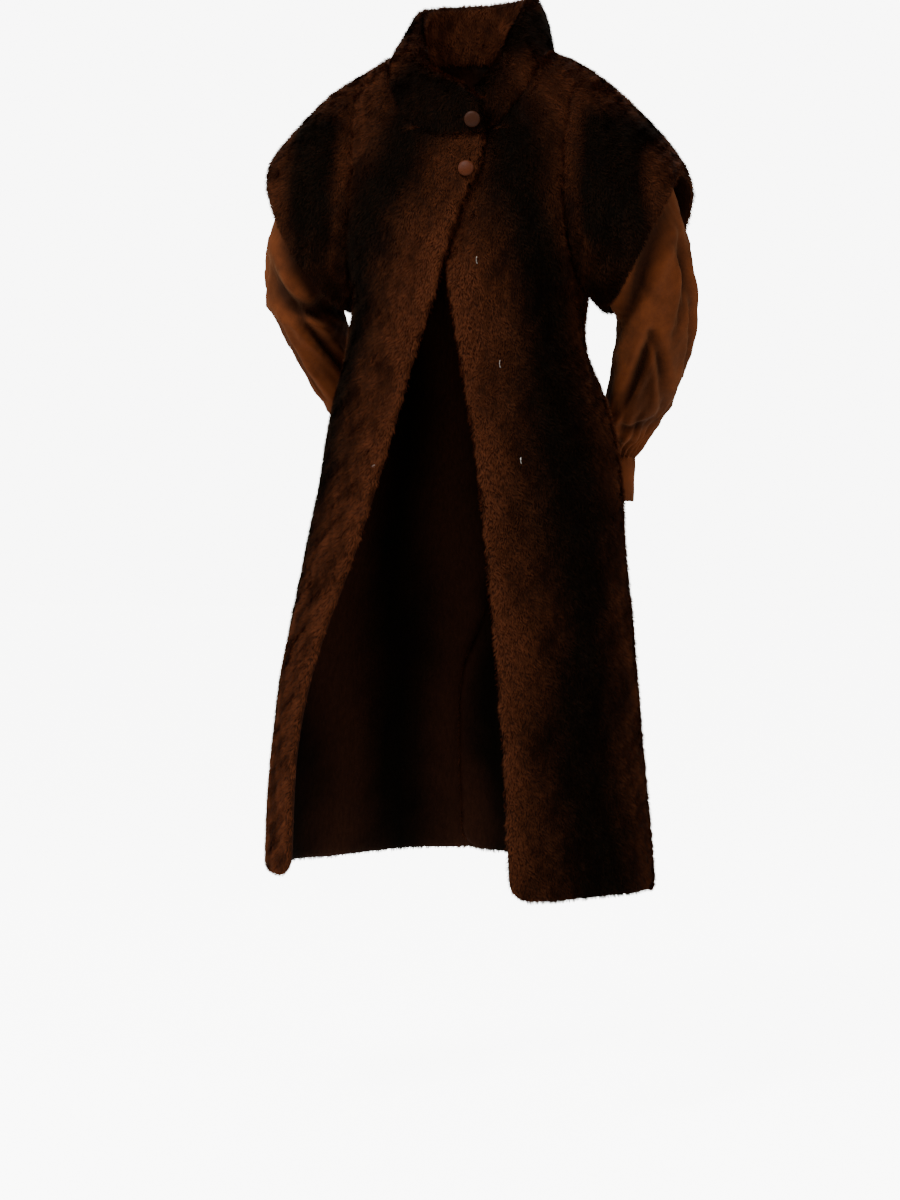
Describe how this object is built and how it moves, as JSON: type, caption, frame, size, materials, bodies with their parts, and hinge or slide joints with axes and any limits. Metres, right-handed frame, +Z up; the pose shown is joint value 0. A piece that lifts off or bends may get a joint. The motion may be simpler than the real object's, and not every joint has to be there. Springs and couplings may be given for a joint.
{
  "type": "faux fur coat",
  "caption": "Long faux fur coat in its worn form: fur body with cap shoulders and stand collar, suede blouson sleeves, front lapped at the neck and open below.",
  "frame": {"origin": "between the shoulders, on the body's middle at the height where the neck meets them, where a wearer carries the coat", "axes": "+Z up, the coat's front faces -Y, the wearer's left is +X"},
  "size_m": [0.664, 0.4727, 1.3342],
  "materials": {
    "fur": "long rust and dark brown faux fur pile",
    "suede": "tan brown suede, matt",
    "button_leather": "copper coloured leather over a round button",
    "wire": "bright steel wire"
  },
  "bodies": {
    "root": {"front_left": "fur", "front_right": "fur", "back_left": "fur", "back_right": "fur", "cap_left": "fur", "cap_right": "fur", "collar": "fur", "sleeve_left": "suede", "sleeve_right": "suede", "cuff_left": "suede", "cuff_right": "suede", "button_1": "button_leather", "button_2": "button_leather", "eye_top": "wire", "eye_middle": "wire", "eye_low": "wire", "hook": "wire"}
  },
  "joints": []
}
